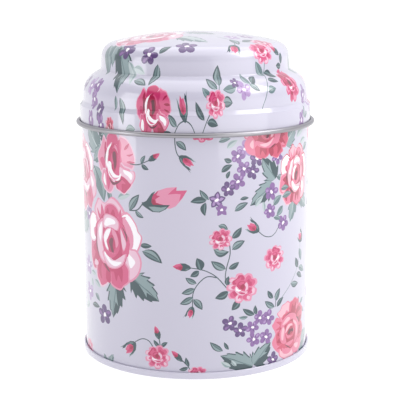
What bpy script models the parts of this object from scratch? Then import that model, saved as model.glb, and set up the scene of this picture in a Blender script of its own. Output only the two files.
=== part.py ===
"""Round cookie tin in printed tinplate.

Three pieces of thin sheet steel:
  lid        one deep drawing: shallow dome, upright band, shoulder, step, skirt and outward rim curl
  body_wall  a rolled sheet with a lock seam at the back, an inward curl on top and a hook below
  base_end   the recessed bottom, folded round the wall's hook as a double seam

The origin is at the centre of the ring that the tin stands on. +Z is up and the wall's lock seam
is at +Y. Every piece is a sheet of one gauge that follows a centre line in the (radius, height)
plane, turned about Z. Lengths are in metres and angles in degrees.
"""
import math

import bmesh
import bpy

# Driving dimensions
SHEET = 0.00025             # gauge of the tinplate
WALL_RADIUS = 0.05495       # outside of the body wall
BODY_TOP = 0.12170          # top of the wall's curl
TIN_HEIGHT = 0.15515        # top of the lid's dome
SEAM_HEIGHT = 0.00315       # double seam at the base
SEAM_GAP = 0.00013          # between the layers of the double seam
LID_CLEARANCE = 0.00030     # between the wall and the lid's skirt

# Lid
DOME_RADIUS = 0.167         # radius of the sphere that the top is part of
CORNER_RADIUS = 0.0077      # between the dome and the band
BAND_TOP_RADIUS = 0.0450
BAND_LOW_RADIUS = 0.0455
CREASE_HEIGHT = 0.1374      # where the band meets the shoulder
CREASE_FILLET = 0.0010
SHOULDER_RADIUS = 0.0540    # outside, where the shoulder has become upright
SHOULDER_WIDTH = 0.0139     # half axes of the shoulder's ellipse
SHOULDER_RISE = 0.0118
SHOULDER_LOW = 0.1264
STEP_TOP = 0.1231           # the step that stops on the wall's curl
STEP_LOW = 0.1211
STEP_FILLET = 0.0008
RIM_CURL_RADIUS = 0.0011    # outside of the rolled rim
RIM_CURL_HEIGHT = 0.1126
RIM_CURL_TURN = 300

# Wall
TOP_CURL_RADIUS = 0.000975  # outside of the inward curl
TOP_CURL_TURN = 290
HOOK_TOP = 0.0025
LOCK_SEAM_WIDTH = 0.0035
LOCK_SEAM_DEPTH = 0.0008
LOCK_SEAM_LOW = 0.0052
LOCK_SEAM_HIGH = 0.1180
LOCK_SEAM_BEVEL = 0.0003

# Base
PANEL_HEIGHT = 0.0036       # centre line of the recessed panel
PANEL_FILLET = 0.0008
BEAD_RADIUS = 0.0450        # stiffening bead in the panel
BEAD_HALF_WIDTH = 0.0022
BEAD_DEPTH = 0.0009
BEAD_FILLET = 0.0014
END_HOOK_LOW = 0.0010

SEGMENTS = 40               # round the axis
FILLET_STEPS = 3
DOME_STEPS = 4
CORNER_STEPS = 5
SHOULDER_STEPS = 7
RIM_CURL_STEPS = 10
TOP_CURL_STEPS = 9
MERGE_DISTANCE = 1e-6

# Worked out from the above
HALF = SHEET / 2
WALL_LINE = WALL_RADIUS - HALF
LAYER_PITCH = SHEET + SEAM_GAP
HOOK_BEND = LAYER_PITCH
SKIRT_LINE = WALL_RADIUS + LID_CLEARANCE + HALF


# Centre lines

def arc(centre, radius, start, end, steps):
    """Points on an arc, both ends included."""
    points = []
    for step in range(steps + 1):
        angle = math.radians(start + (end - start) * step / steps)
        points.append((centre[0] + radius * math.cos(angle), centre[1] + radius * math.sin(angle)))
    return points


def fillet(before, corner, after, radius, steps=FILLET_STEPS):
    """Points that round one corner of a line with an arc."""
    to_before = (before[0] - corner[0], before[1] - corner[1])
    to_after = (after[0] - corner[0], after[1] - corner[1])
    length_before = math.hypot(*to_before)
    length_after = math.hypot(*to_after)
    unit_before = (to_before[0] / length_before, to_before[1] / length_before)
    unit_after = (to_after[0] / length_after, to_after[1] / length_after)
    cosine = unit_before[0] * unit_after[0] + unit_before[1] * unit_after[1]
    half_angle = math.acos(max(-1.0, min(1.0, cosine))) / 2
    reach = radius / math.tan(half_angle)
    bisector = (unit_before[0] + unit_after[0], unit_before[1] + unit_after[1])
    scale = radius / math.sin(half_angle) / math.hypot(*bisector)
    centre = (corner[0] + bisector[0] * scale, corner[1] + bisector[1] * scale)
    first = (corner[0] + unit_before[0] * reach, corner[1] + unit_before[1] * reach)
    last = (corner[0] + unit_after[0] * reach, corner[1] + unit_after[1] * reach)
    start = math.degrees(math.atan2(first[1] - centre[1], first[0] - centre[0]))
    end = math.degrees(math.atan2(last[1] - centre[1], last[0] - centre[0]))
    turn = (end - start + 180) % 360 - 180
    return arc(centre, radius, start, start + turn, steps)


def rounded(corners):
    """A line through (radius, height, fillet) corners; the first and last are plain ends."""
    points = [corners[0][:2]]
    for before, corner, after in zip(corners, corners[1:], corners[2:]):
        points += fillet(before[:2], corner[:2], after[:2], corner[2])
    points.append(corners[-1][:2])
    return joined(points)


def joined(*stretches):
    """One line from several, without the points that they share."""
    points = []
    for stretch in stretches:
        for point in stretch:
            if not points or math.dist(point, points[-1]) > MERGE_DISTANCE:
                points.append(point)
    return points


def offset(line, distance):
    """The line moved sideways, to the left of its direction; ends on the axis stay on it."""
    moved = []
    for index, (radius, height) in enumerate(line):
        before = line[max(index - 1, 0)]
        after = line[min(index + 1, len(line) - 1)]
        incoming = unit(before, (radius, height)) if index > 0 else unit((radius, height), after)
        outgoing = unit((radius, height), after) if index < len(line) - 1 else incoming
        normal = (-(incoming[1] + outgoing[1]), incoming[0] + outgoing[0])
        size = math.hypot(*normal)
        normal = (normal[0] / size, normal[1] / size)
        mitre = distance / (normal[0] * -outgoing[1] + normal[1] * outgoing[0])
        new_radius = 0.0 if radius < MERGE_DISTANCE else radius + normal[0] * mitre
        moved.append((new_radius, height + normal[1] * mitre))
    return moved


def unit(start, end):
    length = math.dist(start, end)
    return ((end[0] - start[0]) / length, (end[1] - start[1]) / length)


def lid_line():
    """From the middle of the dome down to the tip of the rim curl."""
    corner = CORNER_RADIUS - HALF
    dome = DOME_RADIUS - HALF
    dome_centre = TIN_HEIGHT - DOME_RADIUS
    corner_middle = BAND_TOP_RADIUS - CORNER_RADIUS
    lean = math.degrees(math.asin(corner_middle / (DOME_RADIUS - CORNER_RADIUS)))
    corner_height = dome_centre + (DOME_RADIUS - CORNER_RADIUS) * math.cos(math.radians(lean))
    top = arc((0.0, dome_centre), dome, 90, 90 - lean, DOME_STEPS)
    top[0] = (0.0, TIN_HEIGHT - HALF)
    rounding = arc((corner_middle, corner_height), corner, 90 - lean, 0, CORNER_STEPS)

    ellipse_middle = SHOULDER_RADIUS - SHOULDER_WIDTH
    start = math.degrees(math.asin((CREASE_HEIGHT - SHOULDER_LOW) / SHOULDER_RISE))
    shoulder = []
    for step in range(SHOULDER_STEPS + 1):
        angle = math.radians(start * (1 - step / SHOULDER_STEPS))
        shoulder.append((ellipse_middle + (SHOULDER_WIDTH - HALF) * math.cos(angle),
                         SHOULDER_LOW + (SHOULDER_RISE - HALF) * math.sin(angle)))
    band_end = (BAND_LOW_RADIUS - HALF, CREASE_HEIGHT)
    crease = fillet(rounding[-1], band_end, shoulder[1], CREASE_FILLET)

    upright = SHOULDER_RADIUS - HALF
    step_down = rounded([(upright, STEP_TOP + 2 * STEP_FILLET, 0),
                         (upright, STEP_TOP, STEP_FILLET),
                         (SKIRT_LINE, STEP_LOW, STEP_FILLET),
                         (SKIRT_LINE, RIM_CURL_HEIGHT, 0)])
    curl_middle = (SKIRT_LINE + RIM_CURL_RADIUS - HALF, RIM_CURL_HEIGHT)
    curl = arc(curl_middle, RIM_CURL_RADIUS - HALF, 180, 180 + RIM_CURL_TURN,
               RIM_CURL_STEPS)
    return joined(top, rounding, crease, shoulder[1:], step_down, curl)


def wall_line():
    """From the tip of the inward curl, over the top, down the wall and up its hook."""
    bend = TOP_CURL_RADIUS - HALF
    curl_middle = (WALL_LINE - bend, BODY_TOP - TOP_CURL_RADIUS)
    curl = arc(curl_middle, bend, TOP_CURL_TURN, 0, TOP_CURL_STEPS)
    hook_low = SHEET + SEAM_GAP + HALF
    hook = rounded([(WALL_LINE, curl_middle[1], 0),
                    (WALL_LINE, hook_low, HOOK_BEND),
                    (WALL_LINE + 2 * LAYER_PITCH, hook_low, HOOK_BEND),
                    (WALL_LINE + 2 * LAYER_PITCH, HOOK_TOP, 0)])
    return joined(curl, hook)


def base_line():
    """From the middle of the panel out, down, round the wall's hook and back inside it."""
    chuck = WALL_LINE - LAYER_PITCH
    outer = WALL_LINE + 3 * LAYER_PITCH
    end_hook = WALL_LINE + LAYER_PITCH
    return rounded([(0.0, PANEL_HEIGHT, 0),
                    (BEAD_RADIUS - BEAD_HALF_WIDTH, PANEL_HEIGHT, BEAD_FILLET),
                    (BEAD_RADIUS, PANEL_HEIGHT - BEAD_DEPTH, BEAD_FILLET),
                    (BEAD_RADIUS + BEAD_HALF_WIDTH, PANEL_HEIGHT, BEAD_FILLET),
                    (chuck, PANEL_HEIGHT, PANEL_FILLET),
                    (chuck, HALF, HOOK_BEND),
                    (outer, HALF, HOOK_BEND),
                    (outer, SEAM_HEIGHT - HALF, HOOK_BEND),
                    (end_hook, SEAM_HEIGHT - HALF, HOOK_BEND),
                    (end_hook, END_HOOK_LOW, 0)])


# Solids

def paint(name, color, metallic, roughness):
    """A plain material in the piece's colour."""
    material = bpy.data.materials.new(name)
    material.use_nodes = True
    shader = material.node_tree.nodes["Principled BSDF"]
    shader.inputs["Base Color"].default_value = (*color, 1.0)
    shader.inputs["Metallic"].default_value = metallic
    shader.inputs["Roughness"].default_value = roughness
    return material


def turned_sheet(name, line, material):
    """The sheet that follows a centre line, turned about Z as one closed solid."""
    on_axis = line[0][0] < MERGE_DISTANCE
    outside = offset(line, HALF)
    inside = offset(line, -HALF)
    profile = outside + inside[::-1]
    mesh = bpy.data.meshes.new(name)
    shape = bmesh.new()
    vertices = [shape.verts.new((radius, 0.0, height)) for radius, height in profile]
    for first, second in zip(vertices, vertices[1:]):
        shape.edges.new((first, second))
    if not on_axis:
        shape.edges.new((vertices[-1], vertices[0]))
    shape.to_mesh(mesh)
    shape.free()
    piece = bpy.data.objects.new(name, mesh)
    bpy.context.scene.collection.objects.link(piece)
    turn = piece.modifiers.new("turn", "SCREW")
    turn.axis = "Z"
    turn.angle = math.radians(360)
    turn.steps = SEGMENTS
    turn.render_steps = SEGMENTS
    turn.use_merge_vertices = True
    turn.merge_threshold = MERGE_DISTANCE
    turn.use_smooth_shade = True
    mesh.materials.append(material)
    return piece


def lock_seam_ridge():
    """The folded layers of the wall's side seam, as a bar let into the inside of the wall."""
    mesh = bpy.data.meshes.new("lock_seam_ridge")
    shape = bmesh.new()
    bmesh.ops.create_cube(shape, size=1.0)
    size = (LOCK_SEAM_WIDTH, LOCK_SEAM_DEPTH, LOCK_SEAM_HIGH - LOCK_SEAM_LOW)
    bmesh.ops.scale(shape, vec=size, verts=shape.verts)
    inner_edges = []
    for edge in shape.edges:
        if all(vertex.co.y < 0 for vertex in edge.verts):
            inner_edges.append(edge)
    bmesh.ops.bevel(shape, geom=inner_edges, offset=LOCK_SEAM_BEVEL, segments=1, affect="EDGES")
    shape.to_mesh(mesh)
    shape.free()
    ridge = bpy.data.objects.new("lock_seam_ridge", mesh)
    bpy.context.scene.collection.objects.link(ridge)
    embed = WALL_RADIUS - SHEET * 0.85
    ridge.location = (0.0, embed - LOCK_SEAM_DEPTH / 2, (LOCK_SEAM_LOW + LOCK_SEAM_HIGH) / 2)
    ridge.hide_render = True
    ridge.display_type = "WIRE"
    return ridge


def build_lid(material):
    turned_sheet("lid", lid_line(), material)


def build_body_wall(material):
    wall = turned_sheet("body_wall", wall_line(), material)
    union = wall.modifiers.new("lock_seam", "BOOLEAN")
    union.operation = "UNION"
    union.solver = "EXACT"
    union.object = lock_seam_ridge()


def build_base_end(material):
    turned_sheet("base_end", base_line(), material)


def main():
    for item in list(bpy.data.objects):
        bpy.data.objects.remove(item)
    printed = paint("printed_lacquer", (0.86, 0.86, 0.90), 0.0, 0.25)
    white = paint("base_lacquer", (0.88, 0.88, 0.89), 0.0, 0.32)
    build_lid(printed)
    build_body_wall(printed)
    build_base_end(white)


main()
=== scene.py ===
"""Looks of the printed cookie tin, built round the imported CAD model.

Each of the tin's three sheets is made again as a fine turned mesh. The floral print is real geometry:
every motif is a set of flat-colour outlines, drawn in millimetres on the unrolled wall or on the lid's
flat blank, cut into the sheet's surface and given that ink's material.

Lengths are in metres, except that everything drawn for the print is in millimetres. Angles are in
degrees, counted from the front (-Y) towards +X.
"""
import math
import random

import bmesh
import bpy
import numpy as np
from mathutils import Matrix, Vector, geometry


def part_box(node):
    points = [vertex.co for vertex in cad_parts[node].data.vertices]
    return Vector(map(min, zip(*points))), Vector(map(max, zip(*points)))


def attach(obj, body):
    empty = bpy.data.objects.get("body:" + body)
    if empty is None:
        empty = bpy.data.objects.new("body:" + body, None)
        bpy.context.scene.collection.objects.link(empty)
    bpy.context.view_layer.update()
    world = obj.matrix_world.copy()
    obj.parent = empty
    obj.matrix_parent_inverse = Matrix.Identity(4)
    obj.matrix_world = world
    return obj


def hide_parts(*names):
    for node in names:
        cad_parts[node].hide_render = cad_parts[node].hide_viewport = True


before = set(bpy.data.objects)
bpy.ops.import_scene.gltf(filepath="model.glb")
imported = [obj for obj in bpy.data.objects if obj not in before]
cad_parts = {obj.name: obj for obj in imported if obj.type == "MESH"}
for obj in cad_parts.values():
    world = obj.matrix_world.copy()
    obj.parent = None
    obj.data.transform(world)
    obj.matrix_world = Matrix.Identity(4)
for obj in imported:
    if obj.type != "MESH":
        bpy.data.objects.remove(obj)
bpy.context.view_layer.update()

# The sheets, as the CAD model draws them
MM = 0.001
SHEET = 0.00025
HALF = SHEET / 2
WALL_RADIUS = 0.05495
SEAM_GAP = 0.00013
LAYER_PITCH = SHEET + SEAM_GAP
LID_CLEARANCE = 0.00030
WALL_LINE = WALL_RADIUS - HALF
SKIRT_LINE = WALL_RADIUS + LID_CLEARANCE + HALF
TIN_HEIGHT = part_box("lid")[1].z
BODY_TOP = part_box("body_wall")[1].z
BASE_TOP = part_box("base_end")[1].z

DOME_RADIUS = 0.167
CORNER_RADIUS = 0.0077
BAND_TOP_RADIUS = 0.0450
BAND_LOW_RADIUS = 0.0455
CREASE_HEIGHT = 0.1374
CREASE_FILLET = 0.0010
SHOULDER_RADIUS = 0.0540
SHOULDER_WIDTH = 0.0139
SHOULDER_RISE = 0.0118
SHOULDER_LOW = 0.1264
STEP_TOP = 0.1231
STEP_LOW = 0.1211
STEP_FILLET = 0.0008
RIM_CURL_RADIUS = 0.0011
RIM_CURL_HEIGHT = 0.1126
RIM_CURL_TURN = 300

TOP_CURL_RADIUS = 0.000975
TOP_CURL_TURN = 290
HOOK_TOP = 0.0025
HOOK_LOW = SHEET + SEAM_GAP + HALF
LOCK_SEAM_HALF_WIDTH = 0.00175
LOCK_SEAM_DEPTH = 0.00060
LOCK_SEAM_LOW = 0.0052
LOCK_SEAM_HIGH = 0.1180
LOCK_SEAM_SLOPE = 0.00040   # how wide the ridge's sloping side is
GROOVE_DEPTH = 0.00012
GROOVE_HALF_WIDTH = 0.00060
GROOVE_COLUMN = 0.00025     # where the groove has a column of points of its own
BARE_CURL = 6               # segments from the tip of the wall's curl that carry no print

PANEL_HEIGHT = BASE_TOP - HALF
PANEL_FILLET = 0.0008
BEAD_RADIUS = 0.0450
BEAD_HALF_WIDTH = 0.0022
BEAD_DEPTH = 0.0009
BEAD_FILLET = 0.0014
SEAM_TOP = 0.00315
END_HOOK_LOW = 0.0010

AROUND = 160                # columns round a turned piece
SHOULDER_STEPS = 16
CLOSE = 1e-7
WELD = 2e-6

# The wall's print, in millimetres along the unrolled sheet
WALL_LENGTH_MM = 2 * math.pi * WALL_RADIUS / MM
PRINT_LOW_MM = 1.2
PRINT_HIGH_MM = 118.5
ARTWORK_HIGH_MM = 116.0
PRINT_MARGIN_MM = 0.35      # no ink this close to an edge of the sheet
FINEST_MM = 0.02            # outline points closer than this are one point


# Colours

def linear(hex_color):
    """A colour written as RRGGBB, as the shader's linear values."""
    values = []
    for start in (0, 2, 4):
        value = int(hex_color[start:start + 2], 16) / 255
        values.append(value / 12.92 if value <= 0.04045 else ((value + 0.055) / 1.055) ** 2.4)
    return (*values, 1.0)


INKS = {
    "ground": "C6C3D4",
    "white": "F7F3F8",
    "rose_dark": "743048",
    "pink_pale": "E6BCD0",
    "pink_light": "DE8BAA",
    "pink_mid": "D0507F",
    "pink_deep": "BE2C64",
    "red": "9E0E42",
    "red_dark": "5A082A",
    "coral_pale": "E8B2C0",
    "coral_light": "DA7492",
    "coral": "CA4A6A",
    "coral_deep": "AA264A",
    "violet_pale": "C6B2D3",
    "violet_light": "A686BA",
    "violet_mid": "845C9A",
    "violet_dark": "583C74",
    "leaf_pale": "B4C1C4",
    "leaf_light": "869A9E",
    "leaf_mid": "5F787C",
    "leaf_dark": "2C474E",
}


# Outlines, in millimetres

def catmull_rom(points, steps):
    """A smooth curve from the second point, through the others, to just short of the last but one."""
    curve = []
    for a, b, c, d in zip(points, points[1:], points[2:], points[3:]):
        for step in range(steps):
            t = step / steps
            curve.append(tuple(0.5 * (2 * q + (r - p) * t + (2 * p - 5 * q + 4 * r - s) * t * t
                                      + (3 * q - p - 3 * r + s) * t ** 3)
                               for p, q, r, s in zip(a, b, c, d)))
    return curve


def smooth_line(points, steps=5):
    """A smooth open line through the points."""
    return catmull_rom([points[0], *points, points[-1]], steps) + [points[-1]]


def smooth_loop(points, steps=3):
    """A smooth closed outline through the points."""
    return catmull_rom([*points, *points[:3]], steps)


def ribbon(points, width, end_width=None):
    """The outline of a brush line along the points."""
    end_width = width if end_width is None else end_width
    left, right = [], []
    for index, (x, y) in enumerate(points):
        before = points[max(index - 1, 0)]
        after = points[min(index + 1, len(points) - 1)]
        dx, dy = after[0] - before[0], after[1] - before[1]
        size = math.hypot(dx, dy) or 1.0
        half = (width + (end_width - width) * index / (len(points) - 1)) / 2
        left.append((x - dy / size * half, y + dx / size * half))
        right.append((x + dy / size * half, y - dx / size * half))
    return left + right[::-1]


def lens(length, width, bend=0.0, start=0.0, steps=9):
    """A leaf-shaped outline from (start, 0) along +x, widest before its middle."""
    upper, lower = [], []
    for step in range(steps + 1):
        t = step / steps
        half = width / 2 * math.sin(math.pi * t ** 0.85) ** 0.85 if 0 < step < steps else 0.0
        middle = bend * length * 4 * t * (1 - t)
        upper.append((start + t * length, middle + half))
        lower.append((start + t * length, middle - half))
    return upper + lower[-2:0:-1]


def half_lens(length, width, bend=0.0, side=1, share=0.8, steps=9):
    """One side of a leaf, between its midrib and its edge."""
    edge, rib = [], []
    for step in range(steps + 1):
        t = step / steps
        half = width / 2 * math.sin(math.pi * t ** 0.85) ** 0.85 if 0 < step < steps else 0.0
        middle = bend * length * 4 * t * (1 - t)
        edge.append((t * length, middle + side * half * share))
        rib.append((t * length, middle + side * half * 0.08))
    return edge + rib[-2:0:-1]


def oval(x, y, width, height, turn=0.0, steps=8):
    """An ellipse about (x, y)."""
    points = []
    c, s = math.cos(math.radians(turn)), math.sin(math.radians(turn))
    for step in range(steps):
        phi = 2 * math.pi * step / steps
        a, b = width / 2 * math.cos(phi), height / 2 * math.sin(phi)
        points.append((x + a * c - b * s, y + a * s + b * c))
    return points


def placed(shapes, x, y, turn=0.0, wide=1.0, high=1.0):
    """Shapes scaled, turned and moved to their place."""
    c, s = math.cos(math.radians(turn)), math.sin(math.radians(turn))
    moved = []
    for ink, outline in shapes:
        points = [(x + a * wide * c - b * high * s, y + a * wide * s + b * high * c)
                  for a, b in outline]
        moved.append((ink, points))
    return moved


# Motifs

LEAF_TONES = {
    "dark": ("leaf_dark", "leaf_mid", None),
    "mid": ("leaf_mid", "leaf_light", "leaf_dark"),
    "pale": ("leaf_pale", "leaf_light", None),
    "lined": ("leaf_dark", "leaf_light", "leaf_dark"),
}


def leaf(start, end, width, tone="mid", bend=0.06, side=1):
    """A leaf from its stalk to its tip, in two tones with a midrib."""
    length = math.dist(start, end)
    turn = math.degrees(math.atan2(end[1] - start[1], end[0] - start[0]))
    body, half, rib = LEAF_TONES[tone]
    shapes = [(body, lens(length, width, bend))]
    if tone == "lined":
        shapes.append((half, half_lens(length * 0.9, width, bend, side, 0.72)))
        shapes.append(("leaf_mid", half_lens(length * 0.86, width, bend, -side, 0.62)))
    else:
        shapes.append((half, half_lens(length * 0.92, width, bend, side, 0.8 if tone != "dark" else 0.5)))
    if rib:
        ribs = [(t * length, bend * length * 4 * t * (1 - t)) for t in (0.0, 0.25, 0.5, 0.75)]
        shapes.append((rib, ribbon(ribs, 0.3, 0.1)))
    return placed(shapes, *start, turn)


def leaves(*rows, place=None):
    """Leaves in order. A row is the stalk's two coordinates, the tip's two, and what leaf() takes next;
    place makes a point of two coordinates that aren't x and y."""
    art = []
    for a, b, c, d, *rest in rows:
        start, end = (place(a, b), place(c, d)) if place else ((a, b), (c, d))
        art += leaf(start, end, *rest)
    return art


DARK_TONES = ("leaf_dark", "leaf_light", "leaf_mid")
PALE_TONES = ("leaf_mid", "leaf_light", "leaf_pale")


def serrated_leaf(start, end, width, side=1, teeth=3, tones=DARK_TONES):
    """A broad rose leaf with saw-toothed edges: one half dark, the other light."""
    length = math.dist(start, end)
    turn = math.degrees(math.atan2(end[1] - start[1], end[0] - start[0]))

    def edge(sign, share=1.0, shift=0.0):
        line = [(0.0, 0.0), (length * 0.04, sign * share * width * 0.22)]
        for tooth in range(teeth):
            t_root = (tooth + 0.12) / teeth * 0.84
            t_tip = (tooth + 1.12) / teeth * 0.84
            pitch = t_tip - t_root
            for t, scale in ((t_root + 0.30 * pitch, 0.86), (t_root + 0.72 * pitch, 1.02),
                             (t_tip, 1.10), (t_tip - 0.035, 0.78)):
                envelope = math.sin(math.pi * min(t, 0.97) ** 0.62) ** 0.8
                line.append((t * length - shift, sign * share * scale * width / 2 * envelope))
        line.append((length - shift, 0.0))
        return line

    whole = edge(1) + edge(-1)[-2:0:-1]
    light = edge(side, 0.84, length * 0.02) + [(length * 0.60, side * width * 0.05),
                                               (length * 0.30, side * width * 0.03)]
    tongue = [(length * 0.24, 0.0), (length * 0.48, -side * width * 0.10),
              (length * 0.66, -side * width * 0.20), (length * 0.58, -side * width * 0.05),
              (length * 0.82, 0.0)]
    midrib = ribbon([(length * 0.06, 0.0), (length * 0.5, side * width * 0.02), (length * 0.86, 0.0)],
                    0.06 * width, 0.02 * width)
    shapes = [(tones[0], whole), (tones[1], light), (tones[1], tongue), (tones[2], midrib)]
    return placed(shapes, *start, turn)


VIOLET_TONES = {
    "pale": ("violet_light", "violet_pale", "violet_mid"),
    "mid": ("violet_mid", "violet_light", "violet_dark"),
    "dark": ("violet_dark", "violet_mid", "violet_mid"),
}


def violet(x, y, size, tone="mid", turn=0.0, star=False):
    """A five-petalled flower with a white eye."""
    petal_ink, light_ink, line_ink = VIOLET_TONES[tone]
    rng = random.Random(round(size * 10 + turn))
    shapes, lights, lines = [], [], []
    for petal in range(5):
        angle = 72 * petal + rng.uniform(-9, 9)
        length = size / 2 * rng.uniform(0.88, 1.06)
        if star:
            outer = lens(length, size * 0.34, start=0, steps=6)
            inner = lens(length * 0.72, size * 0.19, start=size * 0.04, steps=6)
        else:
            outer = oval(length * 0.60, 0, length * 0.82, size * rng.uniform(0.32, 0.40), steps=11)
            inner = oval(length * 0.66, size * 0.03, length * 0.46, size * 0.15)
        shapes += placed([(line_ink if star else petal_ink, outer)], 0, 0, angle)
        if star or petal in (0, 2):
            lights += placed([(light_ink, inner)], 0, 0, angle)
        stroke = lens(size * 0.20, size * 0.06, start=size * 0.10, steps=4)
        lines += placed([(line_ink, stroke)], 0, 0, angle + 20)
    heart = [(petal_ink, oval(0, 0, size * 0.34, size * 0.32))]
    eye = [("white", oval(0, 0, size * 0.24, size * 0.15, rng.uniform(0, 180))),
           ("white", oval(size * 0.03, -size * 0.02, size * 0.14, size * 0.20, 30))]
    return placed(shapes + heart + lights + lines + eye, x, y, turn)


def violets(*rows, place=None):
    """Violets in order. A row is what violet() takes; place is as in leaves()."""
    art = []
    for a, b, *rest in rows:
        art += violet(*(place(a, b) if place else (a, b)), *rest)
    return art


# A bud along +x, one long and one wide, in its petals' and its calyx's inks
SMALL_BUD = [
    ("pink_mid", [(.30, .30), (.55, .42), (.80, .28), (1.0, .04), (.82, -.26), (.55, -.44), (.34, -.30)]),
    ("pink_deep", [(.32, .30), (.55, .42), (.80, .28), (1.0, .04), (.78, .04), (.62, -.14), (.50, -.34),
                   (.40, -.2)]),
    ("red", [(.36, .26), (.52, .34), (.70, .14), (.58, -.02), (.46, -.10)]),
    ("leaf_dark", [(-.03, .0), (.10, .24), (.28, .44), (.56, .46), (.47, .18), (.45, -.08), (.60, -.44),
                   (.34, -.48), (.12, -.28)]),
    ("leaf_mid", [(.08, .06), (.18, .26), (.32, .36), (.26, .14)]),
]
DROOPING_BUD = [
    ("leaf_light", [(.02, .12), (.30, .50), (.62, .58), (.98, .52), (.66, .38), (.36, .26)]),
    ("pink_mid", [(.16, .10), (.36, .36), (.66, .36), (1.0, .08), (.82, -.06), (.86, -.24), (.58, -.36),
                  (.30, -.30)]),
    ("pink_deep", [(.18, .14), (.40, .32), (.64, .24), (.86, .04), (.62, -.04), (.46, -.24), (.26, -.20)]),
    ("red", [(.24, .12), (.44, .20), (.58, .04), (.40, -.08)]),
    ("leaf_dark", [(-.05, .0), (.04, .22), (.26, .48), (.58, .54), (.90, .40), (.60, .40), (.36, .26),
                   (.24, .06), (.30, -.24), (.60, -.42), (.82, -.36), (1.02, -.50), (.88, -.56),
                   (1.10, -.74), (.80, -.62), (.50, -.58), (.20, -.44), (.02, -.22)]),
    ("leaf_mid", [(.06, -.14), (.24, -.36), (.48, -.50), (.34, -.30), (.18, -.10)]),
]
BIG_BUD = [
    ("pink_light", [(.14, .0), (.20, .30), (.36, .47), (.58, .50), (.80, .42), (.77, .26), (1.0, .14),
                    (.84, -.18), (.66, -.44), (.52, -.49), (.30, -.30)]),
    ("pink_mid", [(.56, .18), (.68, .32), (.80, .42), (.77, .26), (1.0, .14), (.86, -.14), (.76, -.26),
                  (.84, .04), (.74, .12)]),
    ("pink_deep", [(.12, .0), (.20, .32), (.38, .47), (.30, .28), (.38, .20), (.25, .10), (.25, -.06),
                   (.42, -.26), (.2, -.2)]),
    ("red", [(.13, -.02), (.18, .14), (.23, .10), (.23, -.06), (.34, -.20), (.18, -.16)]),
    ("leaf_dark", [(-.10, -.02), (-.09, .12), (.0, .08), (.09, .24), (.20, .42), (.30, .47), (.19, .24),
                   (.14, .02), (.16, -.12), (.32, -.20), (.54, -.32), (.42, -.47), (.26, -.54), (.10, -.44),
                   (.0, -.24)]),
    ("leaf_light", [(.04, -.16), (.18, -.22), (.32, -.33), (.47, -.36), (.38, -.46), (.25, -.50),
                    (.13, -.42)]),
]


def bud(base, tip, width, drawing=SMALL_BUD):
    """A closed rosebud in its green calyx."""
    length = math.dist(base, tip)
    turn = math.degrees(math.atan2(tip[1] - base[1], tip[0] - base[0]))
    return placed(drawing, *base, turn, length, width)


def stem(*points, width=0.5, ink="leaf_dark"):
    """A thin stalk through the points, thinner at its last one."""
    return [(ink, ribbon(smooth_line(points), width, width * 0.8))]


ROSE_INKS = {
    "pink": ("white", "pink_pale", "pink_light", "pink_mid", "pink_deep", "rose_dark"),
    "rose": ("white", "pink_pale", "pink_light", "pink_mid", "pink_deep", "red"),
    "coral": ("white", "coral_pale", "coral_light", "coral", "coral_deep", "red_dark"),
    "bloom": ("white", "coral_pale", "coral", "coral_light", "coral_deep", "red_dark"),
    "deep": ("coral_pale", "coral_light", "coral_light", "coral", "coral_deep", "red_dark"),
    "red": ("white", "pink_light", "pink_mid", "pink_deep", "red", "red_dark"),
}

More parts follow.
